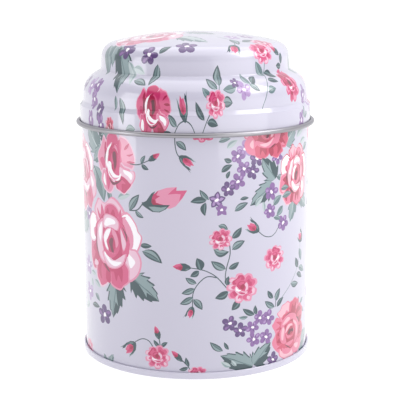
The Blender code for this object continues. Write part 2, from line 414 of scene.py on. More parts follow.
# Roses that reach from -1 to 1 each way, from the back petals to the heart. The letters are the inks, pale to
# dark: W, P, L, M, D and K; a petal with two letters has an edge of the first.
OPEN_ROSE = [
    ("LP", [(-.50, .40), (-.66, .74), (-.40, .97), (-.10, .86), (.14, 1.0), (.44, .90), (.58, .60),
            (.35, .35)]),
    ("LM", [(-.20, .50), (-.14, .80), (.12, .86), (.34, .76), (.40, .50), (.1, .4)]),
    ("LW", [(.34, .62), (.64, .74), (.88, .50), (1.0, .16), (.88, -.14), (.55, -.05), (.42, .25)]),
    ("LP", [(.50, .0), (.84, -.10), (.95, -.38), (.82, -.68), (.54, -.80), (.28, -.55), (.30, -.20)]),
    ("LW", [(-.42, .50), (-.74, .68), (-.97, .42), (-1.0, .08), (-.80, -.14), (-.50, .0)]),
    ("PM", [(-.52, .08), (-.94, .0), (-1.0, -.36), (-.84, -.66), (-.56, -.62), (-.33, -.30)]),
    ("PM", [(-.64, -.38), (-.72, -.78), (-.46, -1.0), (-.16, -.92), (.0, -.60), (-.15, -.35),
            (-.45, -.25)]),
    ("LM", [(-.12, -.48), (-.06, -.88), (.22, -1.0), (.54, -.84), (.56, -.50), (.30, -.30)]),
    ("D", [(-.50, -.42), (-.60, -.66), (-.46, -.86), (-.44, -.6), (-.34, -.40)]),
    ("M", [(-.44, .52), (-.48, .74), (-.34, .62), (-.26, .84), (-.18, .60), (-.28, .48)]),
    ("M", [(.34, .50), (.42, .80), (.48, .62), (.58, .58), (.46, .44)]),
    ("D", [(-.10, .58), (-.04, .76), (.06, .62), (.18, .78), (.22, .58)]),
    ("D", [(-.18, -.48), (-.24, -.80), (-.12, -.88), (-.04, -.62)]),
    ("D", [(.06, -.50), (.10, -.84), (.22, -.66), (.34, -.82), (.34, -.54), (.24, -.40)]),
    ("D", [(-.56, -.06), (-.84, -.16), (-.70, -.26), (-.86, -.46), (-.60, -.42), (-.44, -.26)]),
    ("P", [(-.72, -.40), (-.80, -.54), (-.66, -.54), (-.58, -.46)]),
    ("P", [(.60, -.16), (.78, -.28), (.82, -.44), (.66, -.60), (.60, -.40)]),
    ("W", [(.58, -.20), (.72, -.30), (.74, -.44), (.62, -.52)]),
    ("L", [(-.60, .52), (-.52, .34), (-.74, .26), (-.68, .10), (-.48, .16), (-.44, .48)]),
    ("M", [(-.58, .44), (-.66, .20), (-.60, -.02), (-.46, .10), (-.44, .42)]),
    ("L", [(.46, .58), (.66, .46), (.74, .18), (.68, -.06), (.52, .0), (.50, .30)]),
    ("D", [(-.60, .0), (-.50, .42), (-.18, .62), (.22, .62), (.52, .40), (.64, .0), (.48, -.40),
           (.15, -.60), (-.22, -.58), (-.50, -.36)]),
    ("M", [(.24, .58), (.48, .44), (.62, .10), (.54, -.22), (.40, -.20), (.40, .16), (.24, .36)]),
    ("LP", [(-.57, .06), (-.48, .42), (-.22, .56), (-.27, .24), (-.32, -.06), (-.22, -.44), (-.44, -.40),
            (-.57, -.14)]),
    ("W", [(-.46, .22), (-.36, .44), (-.28, .44), (-.34, .22), (-.38, .02), (-.44, .02)]),
    ("LP", [(-.30, .42), (-.12, .62), (.18, .60), (.38, .44), (.30, .28), (.08, .36), (-.16, .32)]),
    ("W", [(-.20, .42), (-.06, .54), (.16, .52), (.22, .44), (.04, .42), (-.12, .36)]),
    ("LP", [(.36, .34), (.50, .22), (.52, .0), (.42, -.14), (.37, .04)]),
    ("LP", [(-.36, -.22), (-.20, -.50), (.10, -.58), (.40, -.46), (.50, -.22), (.30, -.28), (.04, -.34),
            (-.2, -.2)]),
    ("W", [(-.26, -.24), (-.12, -.42), (.12, -.50), (.38, -.38), (.14, -.38), (-.06, -.34), (-.2, -.2)]),
    ("M", [(-.28, .14), (-.12, .34), (.14, .34), (.30, .14), (.28, -.14), (.08, -.30), (-.16, -.24),
           (-.30, -.04)]),
    ("L", [(.06, .30), (.20, .24), (.26, .06), (.22, -.10), (.17, .06)]),
    ("PW", [(-.25, .12), (-.12, .28), (.04, .32), (-.07, .16), (-.13, .0), (-.10, -.18), (-.22, -.10)]),
    ("D", [(-.10, .12), (.05, .22), (.16, .10), (.17, -.08), (.06, -.22), (-.08, -.14)]),
    ("K", [(-.03, .06), (.04, .16), (.12, .08), (.07, -.04), (.09, -.16), (.01, -.18), (-.03, -.06)]),
    ("L", [(-.08, -.16), (.04, -.25), (.18, -.18), (.06, -.20)]),
    ("K", [(-.56, .34), (-.62, .14), (-.61, -.10), (-.52, -.34), (-.57, -.10), (-.57, .14)]),
    ("K", [(-.34, -.44), (-.22, -.56), (-.06, -.62), (-.20, -.50)]),
    ("K", [(.42, .40), (.56, .22), (.58, .04), (.52, .2)]),
]
CUPPED_ROSE = [
    ("L", [(-.62, .0), (-.46, .50), (.0, .72), (.56, .52), (.78, .0), (.60, -.50), (.10, -.72),
           (-.42, -.60)]),
    ("PL", [(-.35, .55), (-.66, .82), (-.86, .40), (-1.0, .05), (-.84, -.28), (-.60, -.48), (-.35, -.10)]),
    ("D", [(-.52, .60), (-.60, .40), (-.52, .10), (-.42, .24), (-.44, .46)]),
    ("M", [(-.82, .02), (-.66, .10), (-.50, -.10), (-.50, -.36), (-.66, -.22)]),
    ("LM", [(-.48, .42), (-.42, .84), (-.12, 1.0), (.18, .84), (.12, .45)]),
    ("PL", [(.02, .50), (.18, .90), (.54, .86), (.86, .56), (1.0, .20), (.90, -.12), (.50, -.05),
            (.20, .15)]),
    ("M", [(.04, .52), (.16, .80), (.32, .64), (.30, .34), (.40, .12), (.20, .10)]),
    ("D", [(.88, .40), (.70, .40), (.58, .32), (.72, .32)]),
    ("D", [(.95, .14), (.74, .18), (.58, .12), (.76, .08)]),
    ("D", [(.66, .72), (.54, .60), (.44, .46), (.60, .56)]),
    ("PL", [(-.62, -.22), (-.72, -.66), (-.48, -.94), (-.16, -1.0), (.06, -.78), (.0, -.40), (-.30, -.30)]),
    ("W", [(-.58, -.44), (-.60, -.68), (-.44, -.80), (-.44, -.56), (-.50, -.42)]),
    ("M", [(-.38, -.36), (-.34, -.66), (-.24, -.88), (-.14, -.62), (-.10, -.46)]),
    ("PD", [(-.05, -.42), (.14, -.82), (.52, -.92), (.86, -.66), (.92, -.30), (.55, -.28), (.20, -.30)]),
    ("M", [(.16, -.52), (.24, -.76), (.44, -.82), (.38, -.62), (.56, -.56), (.40, -.46)]),
    ("LP", [(.22, -.06), (.60, -.12), (.94, -.14), (1.0, -.36), (.82, -.58), (.62, -.44), (.40, -.36),
            (.14, -.38)]),
    ("W", [(.46, -.16), (.70, -.18), (.86, -.26), (.84, -.42), (.68, -.34), (.50, -.28)]),
    ("M", [(-.50, .18), (-.32, .58), (.0, .70), (.24, .44), (.30, .0), (.24, -.40), (-.10, -.56),
           (-.44, -.32)]),
    ("PW", [(-.49, .14), (-.38, .47), (-.14, .63), (-.30, .38), (-.37, .06), (-.34, -.24), (-.45, -.12)]),
    ("D", [(-.30, .34), (-.20, .54), (-.02, .60), (-.14, .44), (-.22, .22), (-.24, -.06), (-.32, .06)]),
    ("L", [(-.04, .60), (.14, .46), (.22, .16), (.12, .30), (.0, .44)]),
    ("D", [(-.24, .34), (-.04, .50), (.13, .32), (.16, -.02), (.06, -.28), (-.16, -.20), (-.26, .10)]),
    ("M", [(-.20, .22), (-.10, .32), (-.02, .16), (-.08, -.06), (-.18, .04)]),
    ("K", [(-.10, .32), (.0, .38), (.08, .22), (.10, -.02), (.04, -.22), (-.03, .0), (-.08, .16)]),
    ("W", [(-.30, .02), (-.16, -.02), (-.12, -.22), (.04, -.34), (.26, -.36), (.38, -.28), (.28, -.48),
           (.0, -.56), (-.24, -.44), (-.35, -.2)]),
    ("L", [(-.26, -.30), (-.10, -.44), (.14, -.48), (.28, -.44), (.02, -.52), (-.2, -.42)]),
    ("K", [(-.26, -.50), (.0, -.60), (.28, -.54), (.42, -.42), (.22, -.62), (-.04, -.68)]),
    ("K", [(-.50, .36), (-.56, .14), (-.52, -.20), (-.48, .04)]),
]
SMALL_ROSE = [
    ("L", [(-.70, .18), (-.92, .34), (-.84, .60), (-.58, .62), (-.52, .84), (-.24, .94), (-.04, .82),
           (.14, .98), (.44, .96), (.58, .74), (.80, .72), (.94, .46), (.80, .20), (.98, .02), (.96, -.30),
           (.74, -.42), (.72, -.72), (.42, -.84), (.22, -.76), (.06, -.98), (-.24, -.98), (-.38, -.76),
           (-.66, -.78), (-.80, -.52), (-.70, -.34), (-.96, -.24), (-.96, .04)]),
    ("P", [(-.86, .34), (-.76, .54), (-.54, .54), (-.46, .74), (-.36, .60), (-.46, .40), (-.66, .28)]),
    ("D", [(-.62, .16), (-.70, .36), (-.50, .56), (-.40, .76), (-.14, .84), (.04, .60), (-.20, .24)]),
    ("M", [(-.52, .30), (-.46, .48), (-.30, .62), (-.22, .74), (-.20, .50), (-.32, .34)]),
    ("M", [(.08, .56), (.20, .84), (.40, .84), (.50, .64), (.72, .62), (.80, .40), (.60, .16), (.26, .26)]),
    ("D", [(.18, .46), (.30, .66), (.42, .50), (.54, .46), (.60, .28), (.40, .18)]),
    ("P", [(.58, .10), (.84, .06), (.84, -.22), (.66, -.32), (.58, -.08)]),
    ("M", [(.44, .10), (.66, .08), (.64, -.10), (.72, -.26), (.44, -.34)]),
    ("D", [(.44, .04), (.56, .02), (.54, -.16), (.44, -.24)]),
    ("M", [(.30, -.34), (.58, -.40), (.62, -.62), (.42, -.72), (.18, -.66), (.10, -.50)]),
    ("P", [(.44, -.44), (.62, -.50), (.60, -.68), (.44, -.64)]),
    ("P", [(.04, -.52), (.08, -.80), (-.08, -.90), (-.26, -.82), (-.28, -.54)]),
    ("M", [(-.14, -.50), (-.14, -.74), (-.02, -.66), (.08, -.78), (.10, -.50)]),
    ("M", [(-.20, -.42), (-.36, -.66), (-.60, -.68), (-.70, -.50), (-.60, -.34), (-.50, -.20)]),
    ("D", [(-.24, -.42), (-.38, -.56), (-.48, -.46), (-.56, -.36), (-.40, -.26)]),
    ("P", [(-.60, -.18), (-.84, -.16), (-.86, .04), (-.70, .12), (-.52, .08)]),
    ("M", [(-.48, -.14), (-.70, -.10), (-.62, .06), (-.48, .10)]),
    ("M", [(-.50, .04), (-.42, .38), (-.12, .54), (.26, .46), (.46, .14), (.40, -.26), (.10, -.46),
           (-.28, -.40)]),
    ("P", [(-.46, .0), (-.42, -.26), (-.12, -.46), (.20, -.44), (.40, -.20), (.12, -.20), (-.16, -.14),
           (-.30, .04)]),
    ("L", [(-.30, -.22), (-.10, -.36), (.16, -.36), (.26, -.26), (.04, -.26), (-.16, -.18)]),
    ("D", [(-.38, .12), (-.26, .38), (.06, .46), (.28, .22), (.22, -.06), (-.02, -.16), (-.26, -.04)]),
    ("W", [(-.44, .16), (-.38, -.04), (-.20, -.14), (-.04, -.14), (-.18, -.24), (-.38, -.18)]),
    ("P", [(.18, .40), (.36, .22), (.36, -.02), (.22, -.18), (.24, .06), (.12, .24)]),
    ("M", [(-.28, .24), (-.12, .40), (.08, .36), (-.06, .22)]),
    ("K", [(-.10, .20), (.06, .26), (.12, .06), (.0, -.10), (-.14, .02)]),
    ("D", [(-.16, -.34), (.04, -.41), (.26, -.36), (.04, -.30)]),
]


LONG_EDGE = 0.34            # a longer stretch of a petal's outline gets a point of its own halfway
INNER_PETAL = 0.88          # the share of a petal that lies inside its edge
WAVER = 0.03                # how far a point strays, as a hand's would
SMALL_WAVER = 0.02


def rose(x, y, width, height, look="pink", turn=0.0, drawing=OPEN_ROSE, mirror=1):
    """A rose in flat tints, with a hand-painted waver in its edges."""
    inks = dict(zip("WPLMDK", ROSE_INKS[look]))
    rng = random.Random(round(7 * x + 13 * y + width))
    waver = SMALL_WAVER if drawing is SMALL_ROSE else WAVER
    shapes = []
    for letters, points in drawing:
        edge = []
        for (ax, ay), (bx, by) in zip(points, [*points[1:], points[0]]):
            edge.append((ax, ay))
            if math.dist((ax, ay), (bx, by)) > LONG_EDGE:
                edge.append(((ax + bx) / 2, (ay + by) / 2))
        outline = smooth_loop([(a + rng.uniform(-waver, waver), b + rng.uniform(-waver, waver))
                               for a, b in edge])
        shapes.append((inks[letters[0]], outline))
        if len(letters) > 1:
            middle = [sum(axis) / len(outline) for axis in zip(*outline)]
            shapes.append((inks[letters[1]], [tuple(m + (a - m) * INNER_PETAL for a, m in zip(point, middle))
                                              for point in outline]))
    return placed(shapes, x, y, turn, mirror * width / 2, height / 2)


# The print on the wall: x is millimetres along the unrolled wall from the front, y is height

def wall_artwork():
    """One repeat of the wall's pattern; it goes twice round the tin."""
    art = []
    # left edge: the biggest sprays
    art += serrated_leaf((-52, 103), (-63, 113), 13, 1, 3, PALE_TONES)
    art += serrated_leaf((-47, 104), (-57, 97), 9, -1, 3, PALE_TONES)
    art += serrated_leaf((-42, 107), (-53, 114), 8, -1)
    art += leaves((-57, 95, -48, 79, 9.5, "mid", 0.1), (-56, 94, -58, 78, 6.5, "pale", -0.08))
    art += serrated_leaf((-66, 70), (-78, 60), 13, 1, 4, PALE_TONES)
    art += violets((-64, 71, 9, "mid", 20))
    art += leaves((-45, 85, -43.5, 79.5, 3.2), (-38.5, 82, -31, 84.5, 3.4, "pale"))
    art += rose(-70, 90, 28, 36, "pink", 20)
    art += rose(-40.4, 98, 25, 29, "pink", -4, CUPPED_ROSE)
    # the largest rose, with its serrated leaves
    art += serrated_leaf((-40, 44), (-43, 24.5), 12.5, -1, 4)
    art += serrated_leaf((-31, 46), (-17, 36), 12.5, 1, 4)
    art += leaves((-26.3, 61.5, -20.3, 61.6, 2.5, "dark", 0), (-25.2, 58.8, -15.4, 54.0, 4.6, "lined", 0.1))
    art += rose(-44, 60, 38, 43, "pink", 4)
    # sprig with a small bud
    art += stem((-31, 98.6), (-27, 98.5), (-23, 100), (-19, 102))
    art += leaves((-25.2, 99, -23.0, 103, 1.9, "lined"), (-25, 98.8, -21.4, 96.6, 2.1, "dark", -0.08))
    art += bud((-21.5, 100.6), (-16.0, 104.2), 2.9)
    # drooping bud under the rim
    art += stem((-9.2, 114), (-9.0, 108), (-8.0, 104), (-5.8, 101.8))
    art += leaves((-8.6, 109.8, -4.1, 105.8, 3.0, "lined"))
    art += bud((-7.0, 103.2), (-0.8, 98.6), 4.2, DROOPING_BUD)
    art += rose(3.4, 114.4, 12, 10, "red", 0, SMALL_ROSE)
    # horizontal bud
    art += stem((-31.8, 77.2), (-27.5, 77.8), (-24.5, 81), (-22, 82.5), width=0.6)
    art += leaves(
        (-31.8, 77.2, -26.4, 85.0, 3.8, "lined", 0.04), (-28.6, 77.4, -24.2, 74.4, 2.2, "lined", -0.08))
    art += bud((-23.0, 81.0), (-3.4, 86.6), 9.6, BIG_BUD)
    # vine with two roses, buds and leaves
    art += stem((15.4, 63), (15.6, 58), (14.0, 52), (13.4, 47), (14.8, 42))
    art += stem((14.4, 42), (9.2, 48), (3.6, 51.2), (-2.4, 52.4))
    art += stem((9.4, 47.6), (5.0, 48.2), (1.0, 45.0), (-1.4, 40.4), (-1.6, 34))
    art += leaves(
        (2.2, 51.2, 0.4, 57.0, 4.0, "dark", -0.08), (1.4, 51.0, -2.6, 48.4, 2.8, "dark"),
        (0.2, 45.2, -4.8, 47.8, 2.6, "lined"), (-0.8, 42.8, -6.6, 40.4, 2.9, "lined"),
        (-1.4, 38.8, -7.4, 35.4, 3.1, "lined"), (-1.2, 37.8, 2.8, 32.8, 3.3, "lined"))
    art += bud((-1.6, 34.2), (-3.4, 28.9), 3.2, DROOPING_BUD)
    art += bud((-2.2, 52.4), (-10.6, 53.0), 3.9)
    art += leaves(
        (10.2, 71.6, 14.6, 69.6, 2.4, "lined", 0.1), (16.6, 65.4, 21.2, 70.2, 3.2, "dark", -0.06),
        (16.6, 60.2, 22.8, 63.8, 3.5, "lined"), (8.0, 60.8, 15.2, 59.4, 3.6, "lined", -0.18),
        (13.6, 51.4, 6.8, 55.4, 3.6, "lined"), (15.0, 51.4, 20.0, 54.2, 2.7, "dark", -0.06),
        (14.6, 43.4, 15.0, 48.0, 2.6, "dark", 0.1), (14.8, 40.8, 8.6, 38.0, 3.6, "dark", 0.08),
        (20.0, 36.6, 16.4, 31.8, 3.6, "dark", 0.08))
    art += rose(11.2, 65.2, 10.8, 9.8, "rose", 10, SMALL_ROSE)
    art += rose(21.6, 41.8, 15.6, 14.4, "rose", -12, SMALL_ROSE)
    # lone rose and the sprays to its right
    art += rose(39.8, 53.4, 12.6, 12.2, "rose", 25, SMALL_ROSE, -1)
    art += stem((40.4, 30.0), (40.6, 33.6), (39.8, 35.0), width=0.42)
    art += leaves(
        (38.8, 34.4, 35.4, 38.6, 2.6, "dark"), (40.6, 32.6, 43.4, 38.4, 3.0, "lined"),
        (39.8, 30.0, 33.8, 33.8, 3.0, "lined"), (41.4, 29.8, 46.0, 33.6, 2.6, "dark"))
    art += stem((43.4, 32.6), (51, 38.0), (57.6, 44.4), (60.8, 50.0), (61.6, 57.0), width=0.3, ink="leaf_mid")
    art += leaves(
        (52.2, 38.6, 59.4, 37.4, 3.2, "lined", -0.05), (57.8, 42.4, 64.2, 39.2, 2.8, "dark", 0.05),
        (60.0, 45.0, 67.4, 41.6, 3.2, "mid", 0.05), (59.4, 45.2, 56.4, 50.4, 3.4, "dark", 0.05),
        (60.4, 54.0, 63.0, 47.6, 3.6, "mid", 0.05))
    art += bud((63.6, 57.2), (59.8, 61.6), 4.8, DROOPING_BUD)
    # violets up the middle
    art += violets(
        (22.8, 105.6, 8.6, "pale", 30), (19.2, 102.6, 7.4, "mid", 75), (28.8, 101.0, 7.6, "dark", 15),
        (22.2, 96.8, 7.6, "mid", 50), (26.8, 95.2, 7.2, "dark", 5), (19.2, 91.2, 7.8, "mid", 40),
        (14.6, 88.0, 7.2, "dark", 25), (41.0, 100.4, 7.4, "mid", 60), (9.4, 83.2, 8.4, "mid", 85, True),
        (11.6, 78.8, 6.6, "dark", 20, True))
    art += leaves(
        (16.4, 100.4, 12.8, 101.8, 2.4, "dark"), (11.6, 95.8, 16.6, 99.0, 2.7, "dark"),
        (14.0, 92.8, 15.6, 96.2, 1.8, "dark"), (10.4, 109.4, 15.8, 110.8, 2.4),
        (14.2, 106.4, 19.2, 110.0, 2.8, "pale"), (5.8, 83.6, 1.8, 88.2, 2.5, "lined"),
        (4.8, 83.2, -2.4, 82.6, 3.2, "dark", -0.08), (4.4, 82.4, 4.2, 76.2, 2.8, "dark", -0.14))
    # rose cut by the rim, with leaves under it
    art += serrated_leaf((46, 106), (55, 113), 11, -1, 4, PALE_TONES)
    art += rose(35.0, 112.0, 27, 24, "deep", 0, OPEN_ROSE, -1)
    art += leaves(
        (56, 108, 64, 111, 3.6, "pale", 0.1), (60, 104.4, 67, 106.4, 3.2, "pale"),
        (64, 101, 69.6, 103.4, 3.4, "mid", 0.08))
    art += serrated_leaf((39.8, 90.6), (31.6, 101), 9.6)
    art += serrated_leaf((38.4, 88.6), (25.4, 79.6), 9.6, -1, 4)
    art += leaves((40.4, 91.4, 46.0, 89.2, 3.0, "mid", 0.08))
    # full rose at the right, its violets and leaves
    art += serrated_leaf((59.4, 80.6), (69.4, 73.0), 8.6, 1, 3, PALE_TONES)
    art += serrated_leaf((54.8, 80.2), (50.6, 68.6), 8.4, -1, 3, PALE_TONES)
    art += rose(55.6, 90.4, 26, 29, "bloom", -8, OPEN_ROSE)
    art += violets((37.2, 84.8, 8.6, "mid", 10), (36.4, 76.0, 7.4, "mid", 35), (45.2, 69.2, 8.4, "mid", 65))
    art += leaves(
        (43.6, 85.2, 49.4, 85.6, 2.6), (44.6, 81.4, 51.6, 82.4, 2.9),
        (20.4, 83.0, 24.8, 83.4, 1.7, "dark", 0.04), (17.8, 77.8, 24.4, 81.2, 3.0, "lined"),
        (28.2, 79.0, 32.4, 83.4, 2.6, "pale"), (32.4, 80.8, 33.0, 76.0, 2.0, "pale"),
        (38.6, 78.4, 43.8, 82.4, 3.4), (44.8, 77.4, 40.6, 73.2, 3.2), (38.8, 72.6, 43.6, 71.2, 2.2))
    art += stem((29.8, 67.4), (33.2, 64.8), (37, 64.0), (40, 65.4), (42.4, 68.4), width=0.42)
    art += bud((30.0, 67.4), (24.0, 71.4), 4.8, DROOPING_BUD)
    # violets and serrated leaves at the bottom
    art += leaves(
        (28.0, 28.4, 21.8, 32.0, 2.7, "dark"), (29.0, 28.2, 28.4, 32.8, 2.2, "dark"),
        (24.4, 27.8, 19.8, 28.0, 1.7))
    art += violets(
        (15.6, 25.6, 8.0, "dark", 80), (20.6, 21.8, 7.6, "dark", 20), (27.0, 22.4, 7.2, "mid", 50),
        (31.0, 26.4, 7.2, "mid", 10), (35.8, 25.6, 8.0, "mid", 65), (27.6, 16.6, 7.6, "mid", 30),
        (34.6, 16.6, 8.2, "mid", 5), (21.8, 4.2, 7.4, "dark", 40), (39.0, 4.6, 7.6, "dark", 15))
    art += leaves((12.2, 12.8, 6.2, 17.4, 2.9, "lined"), (15.0, 13.2, 12.8, 17.0, 1.7, "dark", 0.04))
    art += serrated_leaf((27.2, 3.6), (11.0, 10.6), 10.5, -1, 4)
    art += serrated_leaf((27.6, 4.2), (37.6, 13.4), 9.6)
    art += leaves((16.0, 5.0, 11.2, 7.8, 2.4, "pale"), (18.8, 5.0, 16.4, 8.0, 1.7, "pale"))
    art += serrated_leaf((60, 5), (74, 11), 10, 1, 4, PALE_TONES)
    art += leaves(
        (60.2, 26.0, 60.4, 30.6, 2.4), (62.0, 26.0, 66.8, 28.6, 2.2), (62.8, 24.0, 68.2, 21.2, 2.4))
    art += rose(52.4, 16.0, 29, 28, "deep", 95, OPEN_ROSE, -1)
    # bottom left: small rose and buds
    art += stem((-17.4, 19), (-16.8, 14.4), (-17.6, 10))
    art += leaves((-17.0, 14.4, -20.0, 17.6, 1.9, "dark"), (-16.4, 14.4, -13.2, 17.0, 1.9, "dark"))
    art += bud((-17.2, 18.0), (-19.2, 24.4), 3.1)
    art += stem((-20, 13.6), (-22.4, 16.8), (-25.8, 17.4), (-29.6, 15.4))
    art += bud((-29.6, 14.8), (-35.4, 9.0), 5.2, DROOPING_BUD)
    art += rose(-18.2, 9.4, 12.6, 11.4, "rose", 8, SMALL_ROSE)
    art += stem((-6.6, 8.8), (-3.6, 5.6), (-2.6, 2.5), width=0.5)
    art += leaves((-3.4, 5.8, -4.8, 10.2, 2.0, "dark"), (-3.8, 5.4, -8.0, 4.2, 1.9, "dark"))
    art += bud((-6.4, 8.2), (-11.4, 13.2), 3.0)
    art += rose(0.4, 2.4, 9, 7, "pink", 0, SMALL_ROSE)
    art += serrated_leaf((-47, 0), (-43.4, 6.6), 4.6, 1, 3, PALE_TONES)
    art += serrated_leaf((-48, 0), (-50.8, 5.2), 4.0, 1, 3, PALE_TONES)
    art += rose(-68, 3.5, 11, 9, "pink", 0, SMALL_ROSE)
    # violets down the left side
    art += violets(
        (-66, 45.4, 9.6, "pale", 10), (-64.8, 32.6, 9.4, "pale", 45), (-49.6, 24.6, 10.6, "dark", 25))
    art += leaves(
        (-62.0, 43.0, -56.8, 42.4, 2.6, "pale"), (-58.4, 39.6, -52.6, 37.0, 3.0, "pale"),
        (-62.0, 40.0, -61.0, 35.4, 2.4, "pale"), (-58.0, 33.2, -53.6, 30.2, 2.6),
        (-61.6, 26.8, -53.8, 27.2, 2.8, "dark"), (-66.0, 26.6, -73.0, 23.6, 3.6, "pale"))
    # between two repeats
    art += serrated_leaf((76, 98), (88, 90), 10, 1, 4, PALE_TONES)
    art += rose(78.5, 107, 16, 15, "pink", 0, CUPPED_ROSE)
    art += leaves((72.0, 84.4, 79.0, 82.6, 3.4), (71.8, 73.4, 79.6, 75.8, 3.4))
    art += bud((82, 62), (78.6, 69.6), 4.6, DROOPING_BUD)
    art += stem((82, 62), (84.6, 55), (82, 48))
    art += leaves((84, 57, 88.4, 60.4, 2.8, "lined"), (84, 53, 79.4, 50.6, 2.8, "lined"))
    art += rose(80.6, 43.4, 14, 13, "rose", 0, SMALL_ROSE)
    art += violets((76.4, 30.2, 8.4, "mid", 12), (82.8, 25.2, 7.8, "pale", 47))
    art += leaves((79, 20, 85, 17, 3.0))
    art += rose(86.6, 8.4, 13, 12, "coral", 0, SMALL_ROSE)
    return art


# The print on the lid: x and y are millimetres on the flat round blank, seen from above

def blank(angle, reach):
    """The blank's point at an angle from the front and a distance from its middle."""
    phi = math.radians(angle)
    return (reach * math.sin(phi), -reach * math.cos(phi))


def around(angle, shapes, reach):
    """Shapes drawn upright at the front, swung round the blank to their angle."""
    return placed(shapes, *blank(angle, reach), angle)


def lid_side_artwork():
    """Half of the ring of motifs on the lid's band, shoulder and skirt."""
    art = []

    art += serrated_leaf(blank(-53, 42), blank(-41, 64), 13, 1, 4)
    art += leaves((-69, 42, -61, 56, 8.5, "mid", 0.05), place=blank)
    art += serrated_leaf(blank(-60, 40), blank(-57, 52), 8, 1, 3, PALE_TONES)
    art += leaves((-42, 49, -35, 60, 4.2, "pale"), (-37.5, 51.6, -29.6, 53.6, 3.6, "pale"), place=blank)
    art += violets(
        (-46, 43.6, 10.5, "dark", 20), (-28, 45.6, 9.5, "dark", 50), (-5.5, 39.4, 11.0, "dark", 20),
        place=blank)
    art += leaves(
        (-21.4, 45.0, -15.0, 40.2, 3.0, "dark"), (-21.6, 49.6, -24.2, 59.8, 4.3, "lined"),
        (-33.8, 57.6, -25.6, 59.8, 3.6, "lined"), place=blank)
    art += violets(
        (-65.5, 62.2, 8.6, "pale", 10), (-58.6, 61.6, 8.0, "mid", 50), (-59.0, 67.2, 8.0, "mid", 5),
        (-52.2, 71.0, 8.4, "dark", 30), (-60.4, 74.6, 8.0, "mid", 60), (-51.0, 76.0, 7.6, "mid", 20),
        place=blank)
    art += leaves(
        (-41.6, 64.8, -41.4, 70.4, 2.4), (-38.8, 65.4, -35.6, 75.0, 4.0, "lined"),
        (-34.2, 76.8, -28.8, 76.2, 2.8), place=blank)
    art += around(-44.4, rose(0, 0, 7.6, 6.8, "coral", 0, SMALL_ROSE), 76.0)
    art += around(-20.2, rose(0, 0, 21.5, 19.0, "red", -6, CUPPED_ROSE), 69.0)
    art += bud(blank(-4.6, 73.0), blank(-7.0, 63.4), 4.6, DROOPING_BUD)
    art += stem(blank(-4.6, 72.6), blank(-7.6, 74.0), blank(-10.2, 78.2))
    art += stem(blank(-4.6, 72.6), blank(-1.8, 74.2), blank(0.4, 78.2))
    art += leaves(
        (-8.4, 74.6, -12.4, 70.6, 2.9, "lined"), (-10.6, 77.4, -14.6, 76.4, 2.2, "dark"), place=blank)
    art += stem(blank(12.2, 59.0), blank(11.2, 63.0), blank(9.6, 66.0), ink="leaf_mid")
    art += stem(blank(8.0, 68.6), blank(5.0, 73.4), blank(2.8, 78.0))
    art += leaves(
        (10.8, 61.2, 5.8, 55.6, 3.8, "lined"), (12.0, 59.8, 12.8, 49.8, 4.6, "lined", 0.02),
        (7.6, 64.8, 3.4, 60.4, 3.2), (20.6, 60.4, 13.6, 61.6, 3.8), (13.0, 66.4, 17.8, 66.6, 4.2, "lined"),
        (4.2, 72.6, 0.2, 65.8, 3.2, "dark", 0.1), (5.4, 73.4, 10.4, 74.4, 3.0, "dark"), place=blank)
    art += around(9.6, rose(0, 0, 10.8, 10.8, "rose", 0, SMALL_ROSE), 66.8)
    art += violets((20.6, 58.4, 5.4, "dark", 30), (24.4, 61.8, 8.4, "pale", 55), place=blank)
    art += leaves(
        (29.0, 59.4, 26.2, 53.4, 3.2, "mid", 0.16), (30.0, 59.8, 34.2, 55.2, 3.6, "dark", 0.1),
        (28.2, 59.8, 33.2, 62.8, 2.7, "lined"), place=blank)
    art += stem(blank(27.6, 39.4), blank(29.6, 36.4), blank(33, 33.6), ink="leaf_mid")
    art += bud(blank(26.8, 39.0), blank(23.6, 45.2), 5.0, DROOPING_BUD)
    art += stem(blank(44.6, 48.6), blank(43.0, 54.0), blank(38.4, 61.6), blank(33.6, 69.4),
                ink="leaf_mid")
    art += leaves(
        (42.0, 55.4, 37.2, 49.0, 4.2), (43.2, 53.8, 50.0, 56.8, 4.0, "dark"),
        (41.4, 58.2, 48.2, 59.4, 2.8, "dark"), (38.2, 63.4, 43.8, 62.2, 3.2), place=blank)
    art += around(44.4, rose(0, 0, 13.2, 12.0, "rose", 10, SMALL_ROSE, -1), 44.6)
    art += bud(blank(59.6, 47.2), blank(54.6, 42.2), 4.4)
    art += leaves((61.0, 51.0, 62.8, 46.2, 3.2, "dark"), (60.8, 51.6, 55.2, 51.4, 2.7, "dark"), place=blank)
    art += around(57.2, rose(0, 0, 15.0, 15.0, "red", 20, SMALL_ROSE), 61.0)
    art += violets(
        (68.6, 66.4, 8.4, "mid", 15), (75.0, 69.6, 7.8, "pale", 40), (62.4, 75.4, 7.8, "mid", 60),
        place=blank)
    art += leaves((66.4, 75.0, 65.2, 70.2, 2.6, "mid", 0.1), (66.8, 74.6, 70.4, 73.6, 2.4), place=blank)
    art += around(88, rose(0, 0, 21, 18, "pink", 0), 66.0)
    art += leaves((78.6, 58.0, 77.4, 47.6, 5.2), (96.0, 56.0, 99.6, 47.6, 4.6, "lined"), place=blank)
    art += violets((88, 46, 9.0, "mid", 15), place=blank)
    art += leaves(
        (80.6, 76.2, 77.0, 71.0, 3.2, "dark"), (97.8, 70.0, 103.0, 74.6, 3.4, "dark"), place=blank)
    art += violets((104.0, 61.4, 7.8, "dark", 15), place=blank)
    return art


